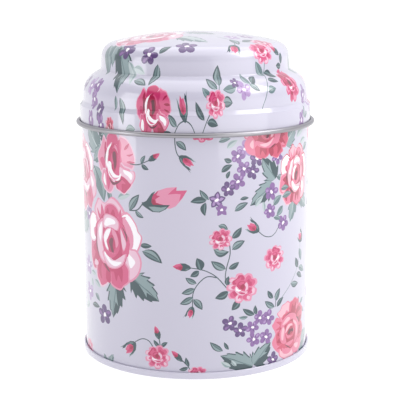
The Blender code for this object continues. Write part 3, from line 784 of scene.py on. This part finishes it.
def lid_top_artwork():
    """The middle of the dome: two big roses with leaves and violets."""
    art = []
    art += serrated_leaf((-30, 2), (-37, 18), 12, 1, 4, PALE_TONES)
    art += serrated_leaf((-8, -22), (6, -33), 10, 1, 4, ("leaf_mid", "leaf_pale", "leaf_light"))
    art += serrated_leaf((-4, -8), (10, -14), 9, -1)
    art += serrated_leaf((30, 8), (38, -4), 10, 1, 3, PALE_TONES)
    art += serrated_leaf((8, 28), (-4, 37), 10, 1, 4)
    art += leaves((-12, 4, -4, 14, 5, "lined"), (2, 6, -6, 2, 4, "dark"))
    art += rose(-21, -13, 33, 31, "pink", 0)
    art += rose(18, 17, 30, 28, "coral", 0, CUPPED_ROSE)
    art += violets(
        (-16, 22, 9, "mid", 10), (-23, 28, 8, "dark", 40), (-9, 27, 8, "pale", 70), (24, -12, 9, "mid", 25),
        (17, -19, 8, "pale", 55))
    art += stem((20, 2), (24, -4), (30, -8))
    art += stem((10, -21), (20, -27), (28, -26), ink="leaf_mid")
    art += leaves((16, -25, 20, -33, 4, "lined"), (22, -27, 27, -20, 3.4, "dark"))
    art += rose(31, -22, 11, 10, "rose", 0, SMALL_ROSE)
    art += bud((-28, 14), (-38, 2), 5, DROOPING_BUD)
    return art


# Centre lines of the sheets, in (radius, height)

def arc(centre, radius, start, end, steps):
    points = []
    for step in range(steps + 1):
        angle = math.radians(start + (end - start) * step / steps)
        points.append((centre[0] + radius * math.cos(angle), centre[1] + radius * math.sin(angle)))
    return points


def unit(start, end):
    length = math.dist(start, end)
    return ((end[0] - start[0]) / length, (end[1] - start[1]) / length)


def fillet(before, corner, after, radius, steps=7):
    """Points that round one corner of a line with an arc."""
    back, on = unit(corner, before), unit(corner, after)
    cosine = back[0] * on[0] + back[1] * on[1]
    half_angle = math.acos(max(-1.0, min(1.0, cosine))) / 2
    reach = radius / math.tan(half_angle)
    bisector = (back[0] + on[0], back[1] + on[1])
    scale = radius / math.sin(half_angle) / math.hypot(*bisector)
    centre = (corner[0] + bisector[0] * scale, corner[1] + bisector[1] * scale)
    first = (corner[0] + back[0] * reach, corner[1] + back[1] * reach)
    last = (corner[0] + on[0] * reach, corner[1] + on[1] * reach)
    start = math.degrees(math.atan2(first[1] - centre[1], first[0] - centre[0]))
    end = math.degrees(math.atan2(last[1] - centre[1], last[0] - centre[0]))
    turn = (end - start + 180) % 360 - 180
    return arc(centre, radius, start, start + turn, steps)


def joined(*stretches):
    """One line from several, without the points that they share."""
    points = []
    for stretch in stretches:
        for point in stretch:
            if not points or math.dist(point, points[-1]) > CLOSE:
                points.append(point)
    return points


def rounded(corners):
    """A line through (radius, height, fillet) corners; the first and last are plain ends."""
    points = [corners[0][:2]]
    for before, corner, after in zip(corners, corners[1:], corners[2:]):
        if corner[2]:
            points += fillet(before[:2], corner[:2], after[:2], corner[2])
        else:
            points.append(corner[:2])
    points.append(corners[-1][:2])
    return joined(points)


def normals_of(line):
    """The unit normals to the left of a line, at its points."""
    normals = []
    for index, point in enumerate(line):
        incoming = unit(line[index - 1], point) if index > 0 else unit(point, line[1])
        outgoing = unit(point, line[index + 1]) if index < len(line) - 1 else incoming
        normal = (-(incoming[1] + outgoing[1]), incoming[0] + outgoing[0])
        size = math.hypot(*normal)
        normals.append((normal[0] / size, normal[1] / size))
    return normals


def lid_lines():
    """The lid's centre line in two stretches: the printed one, then the rim curl."""
    corner_middle = BAND_TOP_RADIUS - CORNER_RADIUS
    dome_centre = TIN_HEIGHT - DOME_RADIUS
    lean = math.degrees(math.asin(corner_middle / (DOME_RADIUS - CORNER_RADIUS)))
    corner_height = dome_centre + (DOME_RADIUS - CORNER_RADIUS) * math.cos(math.radians(lean))
    top = arc((0.0, dome_centre), DOME_RADIUS - HALF, 90, 90 - lean, 12)
    top[0] = (0.0, TIN_HEIGHT - HALF)
    rounding = arc((corner_middle, corner_height), CORNER_RADIUS - HALF, 90 - lean, 0, 14)
    start = math.degrees(math.asin((CREASE_HEIGHT - SHOULDER_LOW) / SHOULDER_RISE))
    ellipse_middle = SHOULDER_RADIUS - SHOULDER_WIDTH
    shoulder = []
    for step in range(SHOULDER_STEPS + 1):
        angle = math.radians(start * (1 - step / SHOULDER_STEPS))
        shoulder.append((ellipse_middle + (SHOULDER_WIDTH - HALF) * math.cos(angle),
                         SHOULDER_LOW + (SHOULDER_RISE - HALF) * math.sin(angle)))
    band_end = (BAND_LOW_RADIUS - HALF, CREASE_HEIGHT)
    crease = fillet(rounding[-1], band_end, shoulder[2], CREASE_FILLET)
    upright = SHOULDER_RADIUS - HALF
    skirt = rounded([(upright, STEP_TOP + 2 * STEP_FILLET, 0),
                     (upright, STEP_TOP, STEP_FILLET),
                     (SKIRT_LINE, STEP_LOW, STEP_FILLET),
                     (SKIRT_LINE, RIM_CURL_HEIGHT, 0)])
    curl_middle = (SKIRT_LINE + RIM_CURL_RADIUS - HALF, RIM_CURL_HEIGHT)
    curl = arc(curl_middle, RIM_CURL_RADIUS - HALF, 180, 180 + RIM_CURL_TURN, 26)
    return joined(top, rounding, crease, shoulder[2:], skirt), curl


def wall_line():
    """The wall's centre line, from the tip of its curl down to the tip of its hook."""
    bend = TOP_CURL_RADIUS - HALF
    curl_middle = (WALL_LINE - bend, BODY_TOP - TOP_CURL_RADIUS)
    curl = arc(curl_middle, bend, TOP_CURL_TURN, 0, 24)
    wall = rounded([(WALL_LINE, curl_middle[1], 0),
                    (WALL_LINE, PRINT_HIGH_MM * MM, 0),
                    (WALL_LINE, LOCK_SEAM_LOW, 0),
                    (WALL_LINE, PRINT_LOW_MM * MM, 0),
                    (WALL_LINE, HOOK_LOW, LAYER_PITCH),
                    (WALL_LINE + 2 * LAYER_PITCH, HOOK_LOW, LAYER_PITCH),
                    (WALL_LINE + 2 * LAYER_PITCH, HOOK_TOP, 0)])
    return joined(curl, wall)


def base_line():
    """The base's centre line, from the middle of its panel to the tip of its hook."""
    chuck = WALL_LINE - LAYER_PITCH
    outer = WALL_LINE + 3 * LAYER_PITCH
    end_hook = WALL_LINE + LAYER_PITCH
    return rounded([(0.0, PANEL_HEIGHT, 0),
                    (BEAD_RADIUS - BEAD_HALF_WIDTH, PANEL_HEIGHT, BEAD_FILLET),
                    (BEAD_RADIUS, PANEL_HEIGHT - BEAD_DEPTH, BEAD_FILLET),
                    (BEAD_RADIUS + BEAD_HALF_WIDTH, PANEL_HEIGHT, BEAD_FILLET),
                    (chuck, PANEL_HEIGHT, PANEL_FILLET),
                    (chuck, HALF, LAYER_PITCH),
                    (outer, HALF, LAYER_PITCH),
                    (outer, SEAM_TOP - HALF, LAYER_PITCH),
                    (end_hook, SEAM_TOP - HALF, LAYER_PITCH),
                    (end_hook, END_HOOK_LOW, 0)])


# Surfaces

class Skin:
    """Vertices, normals and coloured faces of one piece while it is being made."""

    def __init__(self):
        self.points, self.normals, self.faces, self.finishes = [], [], [], []

    def point(self, radius, height, angle, normal):
        sine, cosine = math.sin(angle), math.cos(angle)
        self.points.append((radius * sine, -radius * cosine, height))
        self.normals.append((normal[0] * sine, -normal[0] * cosine, normal[1]))
        return len(self.points) - 1

    def face(self, corners, finish):
        self.faces.append(corners)
        self.finishes.append(finish)

    def make(self, name, materials):
        """The piece as an object: welded, facing out, and shaded with its exact normals."""
        order = sorted(set(self.finishes))
        mesh = bpy.data.meshes.new(name)
        mesh.from_pydata(self.points, [], self.faces)
        for finish in order:
            mesh.materials.append(materials[finish])
        mesh.polygons.foreach_set("material_index", [order.index(f) for f in self.finishes])
        held = mesh.attributes.new("exact_normal", "FLOAT_VECTOR", "POINT")
        held.data.foreach_set("vector", np.array(self.normals, np.float32).ravel())
        shape = bmesh.new()
        shape.from_mesh(mesh)
        bmesh.ops.remove_doubles(shape, verts=shape.verts, dist=WELD)
        bmesh.ops.recalc_face_normals(shape, faces=shape.faces)
        shape.to_mesh(mesh)
        shape.free()
        mesh.shade_smooth()
        held = mesh.attributes["exact_normal"]
        exact = np.zeros(len(mesh.vertices) * 3, np.float32)
        held.data.foreach_get("vector", exact)
        mesh.normals_split_custom_set_from_vertices(exact.reshape(-1, 3).tolist())
        mesh.attributes.remove(mesh.attributes["exact_normal"])
        piece = bpy.data.objects.new(name, mesh)
        bpy.context.scene.collection.objects.link(piece)
        return piece


def sheet_profile(line, on_axis):
    """Both faces of a sheet along its centre line, as (radius, height, normal, side) round the section.
    side is +1 on the left of the line, -1 on its right and 0 on the sheet's cut edge."""
    normals = normals_of(line)
    tips = (unit(line[1], line[0]), unit(line[-2], line[-1]))

    def faced(index, side):
        (radius, height), (across, up) = line[index], normals[index]
        if on_axis and index == 0:
            return (0.0, height + side * HALF, (0.0, side), side)
        return (radius + side * HALF * across, height + side * HALF * up, (side * across, side * up), side)

    def edge(index, tip):
        radius, height = line[index]
        return (radius + HALF * tip[0] * 0.8, height + HALF * tip[1] * 0.8, tip, 0)

    left = [faced(index, 1) for index in range(len(line))]
    right = [faced(index, -1) for index in range(len(line))]
    profile = left + [edge(-1, tips[1])] + right[::-1]
    return profile if on_axis else profile + [edge(0, tips[0])]


def turn_profile(skin, profile, angles, closed, finish_of, skipped=(), relief=None):
    """Turns a profile about Z. Segments in skipped are left open for a printed patch."""
    rings = []
    for radius, height, normal, side in profile:
        if radius < CLOSE:
            rings.append([skin.point(0.0, height, 0.0, (0.0, normal[1]))])
            continue
        ring = []
        for angle in angles:
            moved = radius + relief(angle, height, side) if relief else radius
            ring.append(skin.point(moved, height, angle, normal))
        rings.append(ring)
    count = len(angles)
    pairs = list(zip(range(len(rings)), range(1, len(rings))))
    if closed:
        pairs.append((len(rings) - 1, 0))
    for first, second in pairs:
        if first in skipped:
            continue
        finish = finish_of(first, second)
        a, b = rings[first], rings[second]
        for column in range(count):
            after = (column + 1) % count
            if len(a) == 1:
                skin.face((a[0], b[column], b[after]), finish)
            elif len(b) == 1:
                skin.face((a[column], b[0], a[after]), finish)
            else:
                skin.face((a[column], b[column], b[after], a[after]), finish)


def inside(outline, points):
    """Which of the points lie inside an outline, by how often it winds round them."""
    x, y = points[:, 0], points[:, 1]
    winds = np.zeros(len(points), int)
    for (ax, ay), (bx, by) in zip(outline, outline[1:] + outline[:1]):
        left = (bx - ax) * (y - ay) - (x - ax) * (by - ay)
        winds += (ay <= y) & (y < by) & (left > 0)
        winds -= (by <= y) & (y < ay) & (left < 0)
    return winds != 0


def cut_print(points, lines, shapes):
    """Cuts a flat sheet along the outlines of the shapes, and says which ink each triangle gets.
    Shapes are painted in order, so the last one that covers a triangle is on top."""
    points = [Vector(point) for point in points]
    lines = list(lines)
    drawn = []
    for ink, outline in shapes:
        clean = [outline[0]]
        for point in outline[1:]:
            if math.dist(point, clean[-1]) > FINEST_MM:
                clean.append(point)
        if len(clean) < 3:
            continue
        first = len(points)
        points += [Vector(point) for point in clean]
        lines += [(first + k, first + (k + 1) % len(clean)) for k in range(len(clean))]
        drawn.append((ink, clean))
    flat, _, triangles = geometry.delaunay_2d_cdt(points, lines, [], 0, 1e-5, False)[:3]
    corners = np.array([point[:] for point in flat])[np.array(triangles)]
    middles = corners.mean(axis=1)
    by_x = np.argsort(middles[:, 0])
    sorted_x = middles[by_x, 0]
    inks = np.full(len(triangles), "ground", dtype=object)
    for ink, outline in drawn:
        xs, ys = [x for x, y in outline], [y for x, y in outline]
        near = by_x[np.searchsorted(sorted_x, min(xs)):np.searchsorted(sorted_x, max(xs))]
        near = near[(middles[near, 1] > min(ys)) & (middles[near, 1] < max(ys))]
        if len(near):
            inks[near[inside(outline, middles[near])]] = ink
    return flat, triangles, inks


def wall_angles():
    """Columns round the wall: even ones, and closer ones at the lock seam."""
    step = 2 * math.pi / AROUND
    angles = [-math.pi + step * index for index in range(AROUND)]
    for offset in (GROOVE_COLUMN, GROOVE_HALF_WIDTH, LOCK_SEAM_HALF_WIDTH - LOCK_SEAM_SLOPE,
                   LOCK_SEAM_HALF_WIDTH):
        for sign in (-1, 1):
            angles.append(sign * (math.pi - offset / WALL_RADIUS))
    return sorted(angles)


def wall_relief(angle, height, side):
    """The lock seam: a fine groove outside, and the folded layers' ridge inside."""
    away = (math.pi - abs(angle)) * WALL_RADIUS
    if side > 0:
        return -GROOVE_DEPTH * max(0.0, 1 - away / GROOVE_HALF_WIDTH)
    if side < 0 and LOCK_SEAM_LOW - CLOSE <= height <= LOCK_SEAM_HIGH and away < LOCK_SEAM_HALF_WIDTH:
        return -LOCK_SEAM_DEPTH * min(1.0, (LOCK_SEAM_HALF_WIDTH - away) / LOCK_SEAM_SLOPE)
    return 0.0


def wrapped(shapes):
    """The wall's shapes kept on the unrolled sheet; one that crosses its seam is drawn at both ends."""
    half = WALL_LENGTH_MM / 2
    kept = []
    for ink, outline in shapes:
        low = min(point[0] for point in outline)
        high = max(point[0] for point in outline)
        for shift in (-WALL_LENGTH_MM, 0.0, WALL_LENGTH_MM):
            if high + shift < -half or low + shift > half:
                continue
            limit = half - PRINT_MARGIN_MM
            kept.append((ink, [(min(max(x + shift, -limit), limit),
                                min(max(y, PRINT_LOW_MM + PRINT_MARGIN_MM), ARTWORK_HIGH_MM))
                               for x, y in outline]))
    return kept


def wall_patch(skin, angles):
    """The printed outside of the wall."""
    columns = [angle * WALL_RADIUS / MM for angle in angles] + [WALL_LENGTH_MM / 2]
    rows = [PRINT_LOW_MM, LOCK_SEAM_LOW / MM, 20, 40, 60, 80, 100, PRINT_HIGH_MM]
    points = [(x, y) for y in rows for x in columns]
    wide = len(columns)
    lines = []
    for row in range(len(rows)):
        lines += [(row * wide + column, row * wide + column + 1) for column in range(wide - 1)]
    for column in range(wide):
        lines += [(row * wide + column, (row + 1) * wide + column) for row in range(len(rows) - 1)]
    repeat = wall_artwork()
    shapes = wrapped(repeat + placed(repeat, WALL_LENGTH_MM / 2, 0))
    flat, triangles, inks = cut_print(points, lines, shapes)
    first = len(skin.points)
    for x, y in flat:
        angle = x * MM / WALL_RADIUS
        skin.point(WALL_RADIUS + wall_relief(angle, y * MM, 1), y * MM, angle, (1.0, 0.0))
    for corners, ink in zip(triangles, inks):
        skin.face([first + corner for corner in corners], ink)


def lid_patch(skin, outside, angles):
    """The printed outside of the lid. The flat blank is drawn up over the form without changing its area,
    so a motif near the rim comes out taller and narrower than it was printed."""
    radii = np.array([point[0] for point in outside])
    heights = np.array([point[1] for point in outside])
    across = np.array([point[2][0] for point in outside])
    up = np.array([point[2][1] for point in outside])
    run = np.hypot(np.diff(radii), np.diff(heights))
    drawn = np.concatenate([[0.0], np.cumsum((radii[1:] + radii[:-1]) * run)])
    reach = np.sqrt(drawn) / MM
    rings = reach[1:]
    points = [(0.0, 0.0)]
    lines = []
    for ring in rings:
        first = len(points)
        points += [(ring * math.sin(angle), -ring * math.cos(angle)) for angle in angles]
        lines += [(first + k, first + (k + 1) % len(angles)) for k in range(len(angles))]
    half = lid_side_artwork()
    shapes = half + placed(half, 0, 0, 180) + lid_top_artwork()
    limit = reach[-1] - PRINT_MARGIN_MM
    kept = []
    for ink, outline in shapes:
        clipped = []
        for x, y in outline:
            share = min(1.0, limit / max(math.hypot(x, y), CLOSE))
            clipped.append((x * share, y * share))
        kept.append((ink, clipped))
    flat, triangles, inks = cut_print(points, lines, kept)
    first = len(skin.points)
    for x, y in flat:
        there = math.hypot(x, y)
        normal = (float(np.interp(there, reach, across)), float(np.interp(there, reach, up)))
        size = math.hypot(*normal)
        skin.point(float(np.interp(there, reach, radii)), float(np.interp(there, reach, heights)),
                   math.atan2(x, -y), (normal[0] / size, normal[1] / size))
    for corners, ink in zip(triangles, inks):
        skin.face([first + corner for corner in corners], ink)


# Materials

def shader_of(name):
    """A new material with its nodes, its links and its Principled BSDF."""
    material = bpy.data.materials.new(name)
    material.use_nodes = True
    nodes = material.node_tree.nodes
    return material, nodes, material.node_tree.links, nodes["Principled BSDF"]


def noise(nodes, links, scale, detail, stretch=(1.0, 1.0, 1.0)):
    """Noise in the tin's own metres."""
    place = nodes.new("ShaderNodeTexCoord")
    mapping = nodes.new("ShaderNodeMapping")
    mapping.inputs["Scale"].default_value = stretch
    texture = nodes.new("ShaderNodeTexNoise")
    texture.inputs["Scale"].default_value = scale
    texture.inputs["Detail"].default_value = detail
    links.new(place.outputs["Object"], mapping.inputs["Vector"])
    links.new(mapping.outputs["Vector"], texture.inputs["Vector"])
    return texture.outputs["Fac"]


def rough_between(nodes, links, shader, source, low, high):
    """Roughness that follows a texture from low to high."""
    spread = nodes.new("ShaderNodeMapRange")
    spread.inputs["To Min"].default_value = low
    spread.inputs["To Max"].default_value = high
    links.new(source, spread.inputs["Value"])
    links.new(spread.outputs["Result"], shader.inputs["Roughness"])


def bumped(nodes, links, shader, source, strength, distance):
    bump = nodes.new("ShaderNodeBump")
    bump.inputs["Strength"].default_value = strength
    bump.inputs["Distance"].default_value = distance
    links.new(source, bump.inputs["Height"])
    links.new(bump.outputs["Normal"], shader.inputs["Normal"])


def lacquer(name, hex_color):
    """Flat printing ink under gloss varnish on thin, very slightly wavy sheet."""
    material, nodes, links, shader = shader_of(name)
    shader.inputs["Base Color"].default_value = linear(hex_color)
    shader.inputs["Coat Weight"].default_value = 1.0
    shader.inputs["Coat IOR"].default_value = 1.52
    shader.inputs["Coat Roughness"].default_value = 0.04
    rough_between(nodes, links, shader, noise(nodes, links, 120.0, 3.0), 0.26, 0.38)
    bumped(nodes, links, shader, noise(nodes, links, 55.0, 2.0, (1.0, 1.0, 0.5)), 0.12, 0.0012)
    return material


def tinplate(name):
    """Bare rolled sheet: metal with a faint grain round the tin."""
    material, nodes, links, shader = shader_of(name)
    shader.inputs["Base Color"].default_value = linear("A5A3A8")
    shader.inputs["Metallic"].default_value = 1.0
    grain = noise(nodes, links, 300.0, 4.0, (0.25, 0.25, 6.0))
    rough_between(nodes, links, shader, grain, 0.30, 0.44)
    bumped(nodes, links, shader, grain, 0.15, 0.00005)
    return material


def inside_tin(name):
    """The wall's and lid's unprinted inner face: dull tinplate under clear lacquer."""
    material, nodes, links, shader = shader_of(name)
    shader.inputs["Base Color"].default_value = linear("DADADD")
    shader.inputs["Metallic"].default_value = 0.35
    rough_between(nodes, links, shader, noise(nodes, links, 90.0, 3.0, (1.0, 1.0, 0.3)), 0.32, 0.46)
    return material


def make_materials():
    """Every finish by name: the inks, then the base's lacquer and the bare and the inner tinplate."""
    materials = {}
    for ink, color in INKS.items():
        materials[ink] = lacquer("ink_" + ink, color)
    materials["base_white"] = lacquer("base_white", "CCC9DA")
    materials["tinplate"] = tinplate("bare_tinplate")
    materials["inside"] = inside_tin("inner_tinplate")
    return materials


# Pieces

def even_angles():
    step = 2 * math.pi / AROUND
    return [-math.pi + step * index for index in range(AROUND)]


def make_lid(materials):
    """The lid: printed outside as far as its rim curl, which shows the bare sheet."""
    printed, curl = lid_lines()
    line = joined(printed, curl)
    profile = sheet_profile(line, on_axis=True)
    angles = even_angles()
    skin = Skin()
    last_printed = len(printed) - 1

    def finish_of(first, second):
        return "inside" if 2 * len(line) - last_printed <= first < 2 * len(line) else "tinplate"

    turn_profile(skin, profile, angles, False, finish_of, skipped=range(last_printed))
    lid_patch(skin, profile[:last_printed + 1], angles)
    piece = skin.make("printed_lid", materials)
    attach(piece, "lid")
    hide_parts("lid")


def make_wall(materials):
    """The wall: printed outside, its top curled in and its foot hooked outward for the double seam."""
    line = wall_line()
    profile = sheet_profile(line, on_axis=False)
    high = [index for index, point in enumerate(line) if abs(point[1] - PRINT_HIGH_MM * MM) < CLOSE][-1]
    low = [index for index, point in enumerate(line) if abs(point[1] - PRINT_LOW_MM * MM) < CLOSE][0]
    angles = wall_angles()
    skin = Skin()

    def finish_of(first, second):
        if profile[first][3] > 0 and profile[second][3] > 0:
            return "ground" if first > BARE_CURL else "tinplate"
        return "inside" if len(line) < first < 2 * len(line) - BARE_CURL else "tinplate"

    turn_profile(skin, profile, angles, True, finish_of, skipped=range(high, low), relief=wall_relief)
    wall_patch(skin, angles)
    piece = skin.make("printed_wall", materials)
    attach(piece, "tin")
    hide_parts("body_wall")


def make_base(materials):
    """The base end, with its bead and its edge folded round the wall's hook."""
    profile = sheet_profile(base_line(), on_axis=True)
    skin = Skin()
    turn_profile(skin, profile, even_angles(), False, lambda first, second: "base_white")
    piece = skin.make("seamed_base", materials)
    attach(piece, "tin")
    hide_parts("base_end")


# Studio

CAMERA_PLACE = (0.0, -0.5709, 0.1864)
CAMERA_PITCH = 11.27
CAMERA_YAW = 0.215
CAMERA_ROLL = -0.214
CAMERA_LENS = 106.5
FLOOR_SIZE = 16.0
FLOOR_DROP = 0.00002        # so that the floor and the tin's foot don't share a plane


def make_camera():
    """A long lens in front of the tin, a little above it, looking slightly down."""
    pitch, yaw, roll = (math.radians(a) for a in (CAMERA_PITCH, CAMERA_YAW, CAMERA_ROLL))
    forward = Vector((math.sin(yaw) * math.cos(pitch), math.cos(yaw) * math.cos(pitch), -math.sin(pitch)))
    level = Vector((math.cos(yaw), -math.sin(yaw), 0.0))
    upward = level.cross(forward)
    right = math.cos(roll) * level + math.sin(roll) * upward
    above = math.cos(roll) * upward - math.sin(roll) * level
    data = bpy.data.cameras.new("camera")
    data.lens = CAMERA_LENS
    data.sensor_width = 36.0
    data.clip_start = 0.01
    camera = bpy.data.objects.new("camera", data)
    bpy.context.scene.collection.objects.link(camera)
    turn = Matrix((right, above, -forward)).transposed().to_4x4()
    camera.matrix_world = Matrix.Translation(CAMERA_PLACE) @ turn
    bpy.context.scene.camera = camera


def area_light(name, place, target, width, height, power):
    """A soft rectangular light that faces its target."""
    data = bpy.data.lights.new(name, "AREA")
    data.shape = "RECTANGLE"
    data.size = width
    data.size_y = height
    data.energy = power
    light = bpy.data.objects.new(name, data)
    light.location = place
    aim = Vector(target) - Vector(place)
    light.rotation_euler = aim.to_track_quat("-Z", "Y").to_euler()
    bpy.context.scene.collection.objects.link(light)


def make_world():
    """A pale room: white at the horizon, and above it dim in front of the tin and bright behind."""
    world = bpy.data.worlds.new("studio")
    world.use_nodes = True
    nodes, links = world.node_tree.nodes, world.node_tree.links
    place = nodes.new("ShaderNodeTexCoord")
    split = nodes.new("ShaderNodeSeparateXYZ")
    links.new(place.outputs["Generated"], split.inputs["Vector"])

    def ramp(axis, start, end, low, high):
        spread = nodes.new("ShaderNodeMapRange")
        spread.interpolation_type = "SMOOTHSTEP"
        for name, value in (("From Min", start), ("From Max", end), ("To Min", low), ("To Max", high)):
            spread.inputs[name].default_value = value
        links.new(split.outputs[axis], spread.inputs["Value"])
        return spread.outputs["Result"]

    brighter = nodes.new("ShaderNodeMath")
    brighter.operation = "MAXIMUM"
    links.new(ramp("Y", -0.65, 0.7, 0.06, 0.95), brighter.inputs[0])
    links.new(ramp("Z", 0.05, 0.28, 0.92, 0.0), brighter.inputs[1])
    background = nodes["Background"]
    background.inputs["Color"].default_value = linear("FBFBFF")
    links.new(brighter.outputs["Value"], background.inputs["Strength"])
    bpy.context.scene.world = world


def make_floor():
    material, nodes, links, shader = shader_of("floor_white")
    shader.inputs["Base Color"].default_value = linear("6A6A6C")
    shader.inputs["Emission Color"].default_value = (1.0, 1.0, 1.0, 1.0)
    shader.inputs["Emission Strength"].default_value = 0.92
    rough_between(nodes, links, shader, noise(nodes, links, 4.0, 2.0), 0.55, 0.65)
    bpy.ops.mesh.primitive_plane_add(size=FLOOR_SIZE, location=(0.0, 0.0, -FLOOR_DROP))
    floor = bpy.context.object
    floor.name = "floor"
    floor.data.materials.append(material)


def make_studio():
    make_camera()
    make_world()
    make_floor()
    area_light("left_strip", (-0.555, -0.23, 0.23), (0.0, 0.0, 0.23), 0.20, 0.45, 0.8)
    area_light("right_softbox", (0.54, -0.12, 0.62), (0.0, 0.0, 0.12), 0.38, 0.38, 2.0)
    area_light("front_panel", (0.45, -0.43, 0.35), (0.0, 0.0, 0.35), 0.58, 0.7, 1.6)
    area_light("top_softbox", (0.0, -0.02, 1.1), (0.0, 0.0, 0.09), 1.5, 1.5, 9.0)
    bpy.context.scene.view_settings.view_transform = "Standard"


make_studio()
materials = make_materials()
make_lid(materials)
make_wall(materials)
make_base(materials)
